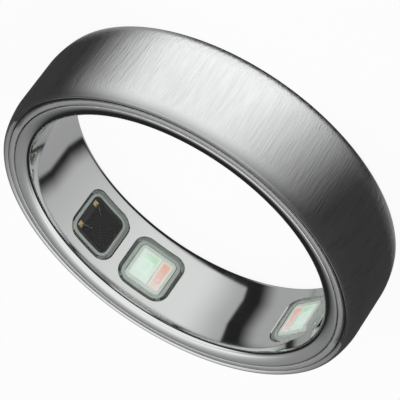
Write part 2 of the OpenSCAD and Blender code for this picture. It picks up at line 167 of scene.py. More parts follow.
# %% [markdown]
# A finish is made from a few shader nodes. Values that are the same all over a piece go
# straight on to the shader's own sockets. Patterns are worked out from the place on the
# piece, and a pattern that several finishes share is a group, built once and placed in each
# with its own values. Painted pictures would also do, but these stay sharp at any distance.

# %% Helpers for materials
def new_material(name, colour, roughness, metallic=0.0, **more):
    """A material with plain values; more holds any other sockets of the shader by name."""
    material = bpy.data.materials.new(name)
    material.use_nodes = True
    shader = material.node_tree.nodes["Principled BSDF"]
    shader.inputs["Base Color"].default_value = (*colour, 1)
    shader.inputs["Roughness"].default_value = roughness
    shader.inputs["Metallic"].default_value = metallic
    for socket, value in more.items():
        shader.inputs[socket.replace("_", " ")].default_value = value
    return material


def add_node(tree, kind, **settings):
    node = tree.nodes.new(kind)
    for key, value in settings.items():
        setattr(node, key, value)
    return node


def new_group(name, inputs, outputs):
    """A shader group with named sockets, for an effect that several materials share."""
    group = bpy.data.node_groups.new(name, "ShaderNodeTree")
    for way, sockets in (("INPUT", inputs), ("OUTPUT", outputs)):
        for title, kind in sockets:
            group.interface.new_socket(title, in_out=way, socket_type="NodeSocket" + kind)
    chosen, result = group.nodes.new("NodeGroupInput"), group.nodes.new("NodeGroupOutput")
    return group, chosen.outputs, result.inputs


def use_group(tree, group, values):
    """Places a group in a material with the material's own values."""
    node = add_node(tree, "ShaderNodeGroup", node_tree=group)
    for title, value in values.items():
        node.inputs[title].default_value = value
    return node.outputs


def drive(material, socket, value):
    """Lets a node's output decide a socket of the material's shader."""
    tree = material.node_tree
    tree.links.new(value, tree.nodes["Principled BSDF"].inputs[socket])


def bumped(material, height, depth, strength):
    """Lets a height pattern tilt the surface a little; depth is in millimetres."""
    bump = add_node(material.node_tree, "ShaderNodeBump")
    bump.inputs["Distance"].default_value = depth * MM
    bump.inputs["Strength"].default_value = strength
    material.node_tree.links.new(height, bump.inputs["Height"])
    drive(material, "Normal", bump.outputs["Normal"])

# %% Helpers for patterns
def math_node(tree, operation, *values):
    """One operation on one or two values, each a number or another node's output."""
    node = add_node(tree, "ShaderNodeMath", operation=operation)
    for slot, value in enumerate(values):
        if isinstance(value, (int, float)):
            node.inputs[slot].default_value = value
        else:
            tree.links.new(value, node.inputs[slot])
    return node.outputs[0]


def smooth(tree, value, low, high, bottom=0, top=1, kind="SMOOTHSTEP"):
    """A soft step: bottom where the value is under low, top where it is over high."""
    node = add_node(tree, "ShaderNodeMapRange", interpolation_type=kind)
    numbers = {"From Min": low, "From Max": high, "To Min": bottom, "To Max": top}
    for socket, number in numbers.items():
        node.inputs[socket].default_value = number
    tree.links.new(value, node.inputs["Value"])
    return node.outputs["Result"]


def ranged(tree, noise, low, high):
    """Noise, which seldom leaves 0.3 to 0.7, stretched evenly to run from low to high."""
    return smooth(tree, noise, 0.3, 0.7, low, high, "LINEAR")


def between(tree, value, low, high, soft, soft_high=None):
    """1 where a value lies between low and high, with soft edges."""
    up = smooth(tree, value, low - soft / 2, low + soft / 2)
    soft_high = soft_high or soft
    down = smooth(tree, value, high - soft_high / 2, high + soft_high / 2, 1, 0)
    return math_node(tree, "MULTIPLY", up, down)


def combined(tree, operation, total, *others):
    """Takes any number of values together, one after the other, with the same operation."""
    for value in others:
        total = math_node(tree, operation, total, value)
    return total


def product(tree, *values):
    return combined(tree, "MULTIPLY", *values)


def object_place(tree):
    return add_node(tree, "ShaderNodeTexCoord").outputs["Object"]


def parts_of(tree, vector):
    """The X, Y and Z of a vector."""
    split = add_node(tree, "ShaderNodeSeparateXYZ")
    tree.links.new(vector, split.inputs[0])
    return split.outputs


def blend(tree, factor, first, second):
    """Mixes two colours, each a tuple or another node's output."""
    node = add_node(tree, "ShaderNodeMix", data_type="RGBA")
    tree.links.new(factor, node.inputs["Factor"])
    for value, socket in ((first, node.inputs["A"]), (second, node.inputs["B"])):
        if isinstance(value, tuple):
            socket.default_value = (*value, 1)
        else:
            tree.links.new(value, socket)
    return node.outputs["Result"]

# %% [markdown]
# The outer shell is brushed straight across the band, along the finger. A brush leaves fine
# grooves of uneven length and depth. Noise that is stretched along the finger's axis looks
# like them: it changes fast round the ring and slowly along the finger. Two layers, one fine
# and one coarse, keep it from looking like printed lines. The grooves drive the bump and the
# roughness, and the shader's own anisotropy spreads highlights round the ring, as real
# grooves do.

# %% Brushed grooves
def slanted(group, place, height, degrees):
    """Coordinates twisted about the finger's axis, so that straight lines slant."""
    slope = math.tan(math.radians(degrees)) / (OUTER_R * MM)
    twist = add_node(group, "ShaderNodeVectorRotate", rotation_type="Z_AXIS")
    group.links.new(place, twist.inputs["Vector"])
    group.links.new(math_node(group, "MULTIPLY", height, slope), twist.inputs["Angle"])
    return twist.outputs[0]


def stretched_noise(group, place, scale, detail):
    """Noise over the given coordinates, with its own scale along each axis."""
    stretch = add_node(group, "ShaderNodeMapping")
    stretch.inputs["Scale"].default_value = scale
    group.links.new(place, stretch.inputs["Vector"])
    noise = add_node(group, "ShaderNodeTexNoise")
    noise.inputs["Scale"].default_value = 1
    noise.inputs["Detail"].default_value = detail
    group.links.new(stretch.outputs["Vector"], noise.inputs["Vector"])
    return noise.outputs["Fac"]


def brushed_grooves():
    """Fine and coarse grooves, which fade out on the shoulders where the brush barely reached."""
    group, chosen, result = new_group(
        "Brushed grooves", [("Fade start", "Float"), ("Fade end", "Float")],
        [("Height", "Float"), ("Shade", "Float")],
    )
    place = object_place(group)
    height = parts_of(group, place)["Z"]
    fine = stretched_noise(group, slanted(group, place, height, 3), (9000, 9000, 500), 2)
    coarse = stretched_noise(group, slanted(group, place, height, -4), (4000, 4000, 330), 3)
    weighed = add_node(group, "ShaderNodeMix", data_type="FLOAT")
    weighed.inputs["Factor"].default_value = 0.4
    group.links.new(fine, weighed.inputs["A"])
    group.links.new(coarse, weighed.inputs["B"])
    fade = smooth(group, math_node(group, "ABSOLUTE", height), 0, 1, 1, 0.15)
    group.links.new(chosen["Fade start"], fade.node.inputs["From Min"])
    group.links.new(chosen["Fade end"], fade.node.inputs["From Max"])
    groove = math_node(group, "SUBTRACT", weighed.outputs["Result"], 0.5)
    softened = math_node(group, "ADD", math_node(group, "MULTIPLY", groove, fade), 0.5)
    group.links.new(softened, result["Height"])
    group.links.new(coarse, result["Shade"])
    return group


grooves = brushed_grooves()
print("Groove group has", len(grooves.nodes), "nodes")

# %% Brushed metal
GROOVE_DEPTH = 0.15
GROOVE_STRENGTH = 0.65
brushed = new_material("Brushed metal", (0.55, 0.56, 0.555), 0.3, metallic=1.0, Anisotropic=0.4)
tree = brushed.node_tree
streaks = use_group(tree, grooves, {"Fade start": 2.0 * MM, "Fade end": 2.9 * MM})
drive(brushed, "Roughness", ranged(tree, streaks["Shade"], 0.26, 0.36))
bumped(brushed, streaks["Height"], GROOVE_DEPTH, GROOVE_STRENGTH)
tones = ranged(tree, streaks["Height"], 0, 1)
drive(brushed, "Base Color", blend(tree, tones, (0.5, 0.51, 0.503), (0.61, 0.62, 0.615)))
around = add_node(tree, "ShaderNodeTangent", direction_type="RADIAL", axis="Z")
drive(brushed, "Tangent", around.outputs["Tangent"])
print("Brushed metal is ready, with", len(tree.nodes), "nodes")

# %% Outer shell
SUNK_Z = 3.11
CREST_R = 12.4
SHOULDER_R = 12.583
SHOULDER_Z = 2.279
half = [
    (RELIEF_R, RELIEF_HALF), (SEAT_R, RELIEF_HALF), (SEAT_R, SUNK_Z), (CREST_R, HALF_W),
    (SHOULDER_R, HALF_W), (OUTER_R, SHOULDER_Z),
]
roundings = (
    (OUTER_R, SHOULDER_Z, 0.688, 12), (SHOULDER_R, HALF_W, 0.237, 10),
    (CREST_R, HALF_W, 0.09, 4), (SEAT_R, SUNK_Z, 0.02, 2),
)
shell = turned_shell(half, roundings)
outer_shell = add_piece("outer-shell", shell, brushed)

# %% [markdown]
# No real finish is one flat colour. Most of the smaller parts need no more than two close
# tones, mixed by noise that also roughens the surface a little, so one group serves them all.
# The bore and the rim need something finer. Polished metal has no pattern of its own: it
# shows the room. Only a very faint unevenness of its gloss is added, from slow noise, so
# that reflections are not as even as on a computer's cylinder.

# %% Helper for two-tone finishes
def grain_group():
    """Two colours in specks of a chosen size, and the specks themselves."""
    group, chosen, result = new_group(
        "Grain", [("First", "Color"), ("Second", "Color"), ("Speck", "Float")],
        [("Colour", "Color"), ("Specks", "Float")],
    )
    noise = add_node(group, "ShaderNodeTexNoise")
    noise.inputs["Detail"].default_value = 3
    group.links.new(object_place(group), noise.inputs["Vector"])
    group.links.new(math_node(group, "DIVIDE", 1, chosen["Speck"]), noise.inputs["Scale"])
    specks = noise.outputs["Fac"]
    mixed = blend(group, smooth(group, specks, 0.35, 0.65), chosen["First"], chosen["Second"])
    group.links.new(mixed, result["Colour"])
    group.links.new(specks, result["Specks"])
    return group


grain = grain_group()
print("Grain group has", len(grain.nodes), "nodes")


def two_tone(name, first, second, roughness, speck, metallic=0.0, bump=0.0, **more):
    """Two colours mixed by grain; speck and bump are in millimetres."""
    material = new_material(name, first, roughness, metallic, **more)
    tree = material.node_tree
    values = {"First": (*first, 1), "Second": (*second, 1), "Speck": speck * MM}
    made = use_group(tree, grain, values)
    drive(material, "Base Color", made["Colour"])
    uneven = ranged(tree, made["Specks"], roughness - 0.05, roughness + 0.05)
    drive(material, "Roughness", uneven)
    if bump:
        bumped(material, made["Specks"], bump, 0.5)
    return material

# %% Polished metals
def faint_waves():
    """A roughness that wanders slowly to both sides of a chosen one."""
    group, chosen, result = new_group(
        "Faint waves", [("Roughness", "Float"), ("Spread", "Float")], [("Roughness", "Float")],
    )
    noise = stretched_noise(group, object_place(group), (700, 700, 700), 2)
    wandering = ranged(group, noise, 0, 1)
    for socket, way in (("To Min", "SUBTRACT"), ("To Max", "ADD")):
        end = math_node(group, way, chosen["Roughness"], chosen["Spread"])
        group.links.new(end, wandering.node.inputs[socket])
    group.links.new(wandering, result["Roughness"])
    return group


waves = faint_waves()


def polished(name, colour, roughness, spread):
    material = new_material(name, colour, roughness, metallic=1.0)
    values = {"Roughness": roughness, "Spread": spread}
    drive(material, "Roughness", use_group(material.node_tree, waves, values)["Roughness"])
    return material


bore_metal = polished("Polished metal", (0.74, 0.755, 0.745), 0.07, 0.02)
rim_metal = polished("Satin metal", (0.68, 0.69, 0.685), 0.37, 0.03)
print("Polished metals are ready")

# %% Polished edge of the outer shell
POLISHED_Z = 3.1
POLISHED_R = CREST_R + 0.03
outer_shell.data.materials.append(bore_metal)
polished_faces = [
    face for face in outer_shell.data.polygons
    if abs(face.center.z) > POLISHED_Z * MM and face.center.xy.length < POLISHED_R * MM
]
for face in polished_faces:
    face.material_index = 1
print("Polished faces on the outer shell:", len(polished_faces))

# %% [markdown]
# A ring that is worn all day has a comfort fit: its bore swells very gently towards the
# middle, so that only the middle presses on the finger, and its lips are well rounded. The
# swell is under a tenth of a millimetre, but polished metal shows it: reflections of
# straight things bend into an S near the front and the rear.

# %% Inner shell before its windows are cut
FIT_R = 10.6
FIT_Z = 1.9
FIT_REACH = 0.8
FIT_TILT = math.radians(7)
CROWN_R = 11.35
CROWN_TILT = math.radians(12)
LIP_R = 0.38


def crossing():
    """Where the tilted end of the bore and the slope of the crown would meet."""
    slope, lean = math.tan(CROWN_TILT), math.tan(FIT_TILT)
    height = (HALF_W - (CROWN_R - FIT_R + FIT_Z * lean) * slope) / (1 - lean * slope)
    return FIT_R + (height - FIT_Z) * lean, height


lip_corner, lip_z = crossing()
lip_turn = math.pi / 2 - FIT_TILT - CROWN_TILT
lip_reach = LIP_R * math.tan(lip_turn / 2)
half = [
    (FIT_R, FIT_Z), (lip_corner, lip_z), (CROWN_R, HALF_W), (FLANGE_R, HALF_W),
    (FLANGE_R, FLANGE_Z), (INNER_SHELL_R, FLANGE_Z),
]
roundings = (
    (lip_corner, lip_z, lip_reach, 24), (CROWN_R, HALF_W, 0.3, 12),
    (FIT_R, FIT_Z, FIT_REACH, 10), (FLANGE_R, HALF_W, EDGE, 3),
)
shell = turned_shell(half, roundings)
print("The bore opens to", round(lip_corner, 2), "mm at the lip, at height", round(lip_z, 2))
inner_shell = add_piece("inner-shell", shell, bore_metal)

# %% [markdown]
# Between the two shells runs a narrow ring that covers the glued joint, one at the front
# and one at the rear. The two thin lines on the rim are its seams. It could be drawn as
# two scratches in one wide rim, but on the real ring it is a part of its own with a small
# gap on each side, and only a real gap darkens the way a seam does.

# %% End rings
RING_Z = 3.125
ring_inner_r, ring_outer_r = FLANGE_R + SEAM, SEAT_R - SEAM
for name, side in (("front", 1), ("rear", -1)):
    back, face = side * FLANGE_Z, side * RING_Z
    ring = outline([
        (ring_inner_r, back), (ring_outer_r, back), (ring_outer_r, face), (ring_inner_r, face),
    ])
    for radius in (ring_outer_r, ring_inner_r):
        round_corner(ring, radius, face, EDGE, 4)
    turn(ring)
    add_piece(f"{name}-end-ring", ring, rim_metal)

# %% [markdown]
# The windows are moulded of clear resin and stand a little proud of the polished wall, with
# a rounded border. Each is modelled lying flat, where a rounded square is easy to inset and
# lift step by step, and is then wrapped round the bore. The same wrap carries the cutters
# that open the metal wall, so a window and its opening always agree.

# %% Wrapping flat work round the bore
STRIPS = 10
EMITTER_ANGLE = 33.184
DETECTOR_ANGLE = 58.352
apart = math.radians(DETECTOR_ANGLE - EMITTER_ANGLE) * BORE_R
print("Neighbouring windows are", round(apart, 2), "mm apart along the bore")


def slit(mesh, place, way):
    """Cuts the whole mesh along a plane through a place in millimetres."""
    bmesh.ops.bisect_plane(
        mesh, geom=mesh.verts[:] + mesh.edges[:] + mesh.faces[:], dist=1e-8,
        plane_co=Vector(place) * MM, plane_no=way,
    )


def wrap(mesh, side, middle):
    """Lays flat work on the bore's wall: X runs round the ring, Z towards the finger."""
    reach = max(vertex.co.x for vertex in mesh.verts) / MM
    for number in range(1 - STRIPS, STRIPS):
        slit(mesh, (reach * number / STRIPS, 0, 0), (1, 0, 0))
    for vertex in mesh.verts:
        across, along, height = vertex.co
        angle = math.radians(middle) + across / (BORE_R * MM)
        radius = BORE_R * MM - height
        vertex.co = (side * radius * math.sin(angle), -radius * math.cos(angle), along)
    face_outwards(mesh)


def rounded_plate(width, corner, height):
    """One flat face with round corners at a height, in millimetres."""
    mesh = bmesh.new()
    bmesh.ops.create_grid(mesh, x_segments=1, y_segments=1, size=width / 2 * MM)
    soften(mesh, mesh.verts[:], corner, 8, "VERTICES")
    straight = [edge for edge in mesh.edges if edge.calc_length() > 0.4 * MM]
    bmesh.ops.subdivide_edges(mesh, edges=straight, cuts=5)
    bmesh.ops.translate(mesh, verts=mesh.verts[:], vec=(0, 0, height * MM))
    return mesh


def lift(mesh, face, height, widen=1.0):
    """Extrudes a face by a height in millimetres and scales it about its middle."""
    joined = all(len(edge.link_faces) > 1 for edge in face.edges)
    made = bmesh.ops.extrude_face_region(mesh, geom=[face])
    top = [part for part in made["geom"] if isinstance(part, bmesh.types.BMFace)][0]
    if joined:
        bmesh.ops.delete(mesh, geom=[face], context="FACES_ONLY")
    bmesh.ops.translate(mesh, verts=top.verts[:], vec=(0, 0, height * MM))
    bmesh.ops.scale(mesh, verts=top.verts[:], vec=(widen, widen, 1))
    return top


def inset(mesh, face, width, height=0):
    """Insets a face and then lifts it, both in millimetres."""
    bmesh.ops.inset_region(
        mesh, faces=[face], thickness=width * MM, depth=0,
        use_even_offset=True, use_boundary=True,
    )
    bmesh.ops.translate(mesh, verts=face.verts[:], vec=(0, 0, height * MM))
    return face

# %% Openings in the inner shell
WINDOW_W = 3.95
WINDOW_ROUND = 1.0
CHAMFER = 0.04
CUT_DEPTH = 0.6
FLARE = 0.4


def cutter(side, middle):
    """A straight plug through the wall that flares above it, to leave a chamfered opening."""
    mesh = rounded_plate(WINDOW_W, WINDOW_ROUND, -CUT_DEPTH)
    top = lift(mesh, mesh.faces[:][0], CUT_DEPTH + BORE_R - FIT_R - CHAMFER)
    lift(mesh, top, FLARE, (WINDOW_W + 2 * FLARE) / WINDOW_W)
    wrap(mesh, side, middle)
    return object_of("cutter", mesh)


places = [
    ("left", -1, "detector", DETECTOR_ANGLE), ("left", -1, "emitter", EMITTER_ANGLE),
    ("right", 1, "emitter", EMITTER_ANGLE), ("right", 1, "detector", DETECTOR_ANGLE),
]
tools = [cutter(side, middle) for _, side, _, middle in places]
for tool in tools:
    cut = inner_shell.modifiers.new("opening", "BOOLEAN")
    cut.operation = "DIFFERENCE"
    cut.solver = "EXACT"
    cut.object = tool
bpy.context.view_layer.update()
ready = inner_shell.evaluated_get(bpy.context.evaluated_depsgraph_get())
opened = bpy.data.meshes.new_from_object(ready)
inner_shell.modifiers.clear()
inner_shell.data = opened
for tool in tools:
    bpy.data.objects.remove(tool)
print("Inner shell with its openings has", len(opened.polygons), "faces")

# %% [markdown]
# Cutting leaves long thin faces beside the openings, and smooth shading averages over them,
# which would show as small facets in the polish. The true shape is known, so every corner
# on the wall is given the direction that the real wall has there.

# %% True shading on the polished wall
WALL_HALF = 2.7
ALIKE = 0.985
arc_r = FIT_REACH / math.tan(FIT_TILT / 2)


def wall_direction(place):
    """The way the bore's wall faces at a place on it, between its two lips."""
    outwards = Vector((place.x, place.y, 0)).normalized()
    over = max(0, abs(place.z) / MM - FIT_Z + FIT_REACH)
    tilt = min(math.asin(over / arc_r), FIT_TILT)
    return Vector((0, 0, math.copysign(math.sin(tilt), place.z))) - outwards * math.cos(tilt)


def true_shading(data):
    directions = [corner.vector.copy() for corner in data.corner_normals]
    changed = 0
    for polygon in data.polygons:
        middle = polygon.center
        if abs(middle.z) > WALL_HALF * MM or wall_direction(middle).dot(polygon.normal) < ALIKE:
            continue
        for index in polygon.loop_indices:
            place = data.vertices[data.loops[index].vertex_index].co
            directions[index] = wall_direction(place)
            changed += 1
    data.normals_split_custom_set(directions)
    return changed


print("Corners with the true direction:", true_shading(inner_shell.data))

# %% [markdown]
# The window's resin is a real transparent shader: light bends at its surface, and the
# sensors behind it are seen through it. Its sides are left matt by the mould and are pale,
# with a faint painted glow, and where they meet the metal they carry painted shade.
# Where the resin was poured on to a sensor there is no gap, so light passes that face of the
# window without bending.

# %% Window resin
resin = new_material(
    "Window resin", (0.95, 0.98, 0.96), 0.02, Transmission_Weight=1.0, IOR=1.45,
    Specular_IOR_Level=0.1,
)
# Painted glow: the matt resin shines faintly, standing in for light scattered inside it.
matt_resin_painted_glow = two_tone(
    "Matt resin with painted glow", (0.63, 0.68, 0.65), (0.69, 0.74, 0.71), 0.5, 0.1,
    Emission_Color=(0.72, 0.78, 0.74, 1), Emission_Strength=0.06,
)
# Painted shade: where a window's sides meet the metal, the resin is darkened as if in shade.
# Beside the emitters it is painted paler, as if lit by them.
painted_shade_edge = two_tone("Painted shade on resin at the metal", (0.12, 0.135, 0.125), (0.16, 0.175, 0.165), 0.5, 0.1)
painted_lit_edge = two_tone("Painted lit resin at the metal", (0.26, 0.29, 0.27), (0.32, 0.35, 0.33), 0.5, 0.1)
bonded_resin = new_material(
    "Resin against the sensor", (1, 1, 1), 0.0, Transmission_Weight=1.0, IOR=1.0,
    Specular_IOR_Level=0.0,
)
tree = resin.node_tree
mould = stretched_noise(tree, object_place(tree), (900, 900, 900), 2)
drive(resin, "Roughness", ranged(tree, mould, 0.012, 0.03))
print("Window resin is ready")

# %% [markdown]
# A window is built like the moulded part: a flange that sits behind the wall, a body that
# fills the opening, a border that rolls over in a quarter circle, and a very low dome. It
# could be one rounded box, but the rolled border is what catches the light, so it is
# inset and lifted step by step from one flat face. The pocket under it leaves room for
# the sensor.

# %% Sizes of a window
FLANGE_W = 4.35
FLANGE_ROUND = 1.2
WINDOW_DEPTH = 0.47
FLANGE_T = 0.15
BODY_TOP = 0.01
BORDER = 0.3
FLANGE_REACH = 0.22
PROUD = 0.2
LEDGE = -0.12
ROLL_STEPS = 6
FLANGE_FOOT = 0.45
STEP = 0.05
EMITTER_POCKET, EMITTER_CEILING = 2.88, -0.03
DETECTOR_POCKET, DETECTOR_CEILING = 3.0, 0.005
POCKET_WALL = 0.15
PAINTED_SHADE_DEPTH = 0.3
HAIR = 0.001
DOME = ((0.75, 0.012), (0.6, 0.01), (0.4, 0.006), (0.1, 0.002))
print("A window stands", PROUD, "mm proud and is", WINDOW_DEPTH + PROUD, "mm thick")

# %% Windows
def paint(mesh, pocket):
    """Clear above (0), bonded over the sensor (2), painted shade at the metal (3), else matt (1).
    """
    for face in mesh.faces:
        spot = face.calc_center_median() / MM
        out = max(abs(spot.x), abs(spot.y))
        if spot.z > BODY_TOP + HAIR:
            face.material_index = 0
        elif out < pocket / 2 and spot.z > LEDGE + HAIR:
            face.material_index = 2
        elif abs(face.normal.z) < 0.5 and spot.z > -PAINTED_SHADE_DEPTH and out > pocket / 2 + POCKET_WALL:
            face.material_index = 3
        else:
            face.material_index = 1


def window(name, side, middle, pocket, ceiling, edge):
    """Flange, body, rounded border and shallow dome, with a pocket for the sensor."""
    mesh = rounded_plate(FLANGE_W, FLANGE_ROUND, -WINDOW_DEPTH)
    bottom = mesh.faces[:][0]
    top = inset(mesh, lift(mesh, bottom, FLANGE_T), FLANGE_REACH)
    top = lift(mesh, top, WINDOW_DEPTH - FLANGE_T + BODY_TOP)
    for step in range(ROLL_STEPS):
        before, after = (math.pi / 2 * (step + k) / ROLL_STEPS for k in (0, 1))
        width = BORDER * (math.cos(before) - math.cos(after))
        rise = (PROUD - BODY_TOP) * (math.sin(after) - math.sin(before))
        top = inset(mesh, top, width, rise)
    for share, rise in DOME:
        top = lift(mesh, top, rise, share)
    inset(mesh, bottom, FLANGE_FOOT)
    inset(mesh, bottom, STEP, WINDOW_DEPTH + LEDGE)
    inset(mesh, bottom, (FLANGE_W - pocket) / 2 - FLANGE_FOOT - STEP)
    inset(mesh, bottom, 0.02, ceiling - LEDGE)
    paint(mesh, pocket)
    wrap(mesh, side, middle)
    piece = add_piece(f"{name}-window", mesh, resin, 40)
    # edge is the resin at the metal, painted in shade, and painted paler in an emitter's window.
    for material in (matt_resin_painted_glow, bonded_resin, edge):
        piece.data.materials.append(material)


for word, side, kind, middle in places:
    if kind == "emitter":
        window(f"{word}-emitter", side, middle, EMITTER_POCKET, EMITTER_CEILING, painted_lit_edge)
    else:
        window(f"{word}-detector", side, middle, DETECTOR_POCKET, DETECTOR_CEILING, painted_shade_edge)

# %% [markdown]
# Behind a window lies a sensor. The emitter is a white package with two wells of cloudy
# resin, one lit green and one lit red from the chips in them. The detector is a black
# silicon chip with fine lines, joined by two wires to gold pads on a grey substrate.
# The wells and the chip carry a pattern in their own plane, so their flat sizes are kept
# as a UV map before they are set into the curve.

# %% Flat pieces in the curve
SENSOR_BACK = -0.986
print("Sensors reach", -SENSOR_BACK, "mm behind the bore's wall")


def level_edges(edges):
    return {line for line in edges if abs(line.verts[0].co.z - line.verts[1].co.z) < 1e-9}


def block(mesh, width, length, top, bottom, across=0, along=0, edge=0.03, corner=0):
    """Adds a box with softened edges; top and bottom are heights over the bore's wall."""
    made = bmesh.ops.create_cube(mesh, size=1)["verts"]
    size = Vector((width, length, top - bottom)) * MM
    bmesh.ops.scale(mesh, vec=size, verts=made)
    middle = Vector((across, along, (top + bottom) / 2)) * MM
    bmesh.ops.translate(mesh, vec=middle, verts=made)
    edges = {line for vertex in made for line in vertex.link_edges}
    if corner:
        rounded = soften(mesh, list(edges - level_edges(edges)), corner, 6)
        edges = {line for face in rounded["faces"] for line in face.edges}
        edges |= {line for vertex in rounded["verts"] for line in vertex.link_edges}
        edges = level_edges(edges)
    soften(mesh, list(edges), edge, 2)


def seat(mesh, side, middle):
    """Keeps the flat sizes as a UV map and sets the piece at its angle, without bending it."""
    flat = mesh.loops.layers.uv.new("Flat")
    for face in mesh.faces:
        for corner in face.loops:
            corner[flat].uv = corner.vert.co.xy / MM
    sine, cosine = math.sin(math.radians(middle)), math.cos(math.radians(middle))
    outwards, around = Vector((side * sine, -cosine, 0)), Vector((side * cosine, sine, 0))
    for vertex in mesh.verts:
        across, along, height = vertex.co
        vertex.co = outwards * (BORE_R * MM - height) + around * across + Vector((0, 0, along))
    face_outwards(mesh)

# %% [markdown]
# The sensors are tiny and lie close behind the resin, so their pattern is seen more than
# their shape. The soft wells of light and the fine lines on the silicon could be painted
# as pictures. Here they are drawn with masks instead: rectangles in the piece's own flat
# sizes, with softened edges, that mix one colour into another and stay sharp from any
# distance.

# %% Masks in a piece's flat sizes
def flat_place(tree):
    place = add_node(tree, "ShaderNodeUVMap", uv_map="Flat").outputs["UV"]
    parts = parts_of(tree, place)
    return parts["X"], parts["Y"]


def off_middle(tree, x, y, across, along, width, length):
    """How far a place lies outside a rectangle; negative inside it."""
    over = []
    for value, middle, size in ((x, across, width), (y, along, length)):
        away = math_node(tree, "ABSOLUTE", math_node(tree, "SUBTRACT", value, middle))
        over.append(math_node(tree, "SUBTRACT", away, size / 2))
    return math_node(tree, "MAXIMUM", *over)


def outline_mask(tree, x, y, across, along, width, length, line):
    """A soft line along the edge of a rectangle."""
    off = math_node(tree, "ABSOLUTE", off_middle(tree, x, y, across, along, width, length))
    return smooth(tree, off, 0, line, 1, 0)

# %% Cloudy resin
WELLS = ((0.44, 1.4), (-0.78, 0.76))
WELL_L = 2.2


def green_glow(tree, x, y):
    """Green in one corner, pale in the other, with the chip as a brighter square."""
    across, width = WELLS[0]
    diagonal = math_node(tree, "MULTIPLY", math_node(tree, "ADD", x, y), -1)
    green = blend(tree, smooth(tree, diagonal, -0.6, 1.2), (0.72, 0.9, 0.79), (0.4, 0.74, 0.42))
    chip = outline_mask(tree, x, y, 0.5, 0.05, 0.75, 0.9, 0.2)
    green = blend(tree, chip, green, (0.82, 0.93, 0.86))
    rim = smooth(tree, off_middle(tree, x, y, across, 0, width, WELL_L), -0.28, 0.02)
    return blend(tree, rim, green, (0.78, 0.86, 0.8))


def red_glow(tree, x, y):
    """Red fading to pink, with two small chips as darker outlines."""
    across, width = WELLS[1]
    red = blend(tree, smooth(tree, y, -0.9, 0.7), (0.86, 0.4, 0.28), (0.86, 0.68, 0.63))
    for along in (0.35, -0.2):
        chip = outline_mask(tree, x, y, across, along, 0.36, 0.4, 0.07)
        red = blend(tree, chip, red, (0.8, 0.44, 0.36))
    rim = smooth(tree, off_middle(tree, x, y, across, 0, width, WELL_L), -0.2, 0.02)
    return blend(tree, rim, red, (0.84, 0.78, 0.74))


cloudy = new_material("Cloudy resin", (0.3, 0.32, 0.3), 0.3, Emission_Strength=0.75)
tree = cloudy.node_tree
x, y = flat_place(tree)
both = blend(tree, smooth(tree, x, -0.34, -0.28), red_glow(tree, x, y), green_glow(tree, x, y))
drive(cloudy, "Emission Color", both)
print("Cloudy resin glows over", len(WELLS), "wells")

# %% Silicon and the other sensor finishes
CHIP_W, CHIP_L = 2.2, 2.4
CHIP_ACROSS = -0.25
LINE_PITCH = 0.15
BARE_EDGE = 0.1


def silicon_chip():
    """Black, with fine grey lines that stop short of the chip's edge."""
    material = new_material("Silicon", (0.003, 0.003, 0.003), 0.25, Specular_IOR_Level=0.02)
    tree = material.node_tree
    x, y = flat_place(tree)
    wave = math_node(tree, "FRACT", math_node(tree, "DIVIDE", x, LINE_PITCH))
    off_line = math_node(tree, "ABSOLUTE", math_node(tree, "SUBTRACT", wave, 0.5))
    lined_w, lined_l = CHIP_W - 2 * BARE_EDGE, CHIP_L - 2 * BARE_EDGE
    field = off_middle(tree, x, y, CHIP_ACROSS, 0, lined_w, lined_l)
    lines = product(tree, smooth(tree, off_line, 0.3, 0.5), smooth(tree, field, -0.04, 0, 1, 0))
    colour = blend(tree, lines, (0.001, 0.001, 0.001), (0.022, 0.022, 0.02))
    drive(material, "Base Color", colour)
    return material


silicon = silicon_chip()
# Painted glow: the white package shines faintly in pale green, as if lit by the wells in it.
package = two_tone(
    "White package with painted glow", (0.8, 0.81, 0.78), (0.84, 0.85, 0.82), 0.5, 0.08,
    Emission_Color=(0.8, 0.95, 0.85, 1), Emission_Strength=0.25,
)
substrate = two_tone(
    "Substrate", (0.044, 0.046, 0.046), (0.056, 0.058, 0.058), 0.5, 0.08,
    Specular_IOR_Level=0.05,
)
gold = two_tone("Gold", (0.74, 0.53, 0.22), (0.86, 0.63, 0.28), 0.3, 0.05, metallic=1.0)
wire = two_tone("Wire", (0.46, 0.46, 0.44), (0.54, 0.54, 0.52), 0.35, 0.05, metallic=1.0)
sensor_finishes = (cloudy, silicon, package, substrate, gold, wire)
print("Sensor finishes:", ", ".join(material.name for material in sensor_finishes))

# %% [markdown]
# The emitter's package is a square block with round corners and two wells of cloudy
# resin. The wells could be cut with a second solid, but pressing in two fields of the
# front face gives the same shape with cleaner edges.

# %% Packages
FRONT = -0.06
WELL_DEPTH = 0.35
RESIN_SUNK = 0.01
PACKAGE_W = 2.82
PACKAGE_ROUND = 0.4
print("A package is", PACKAGE_W, "mm square and its wells are", WELL_DEPTH, "mm deep")


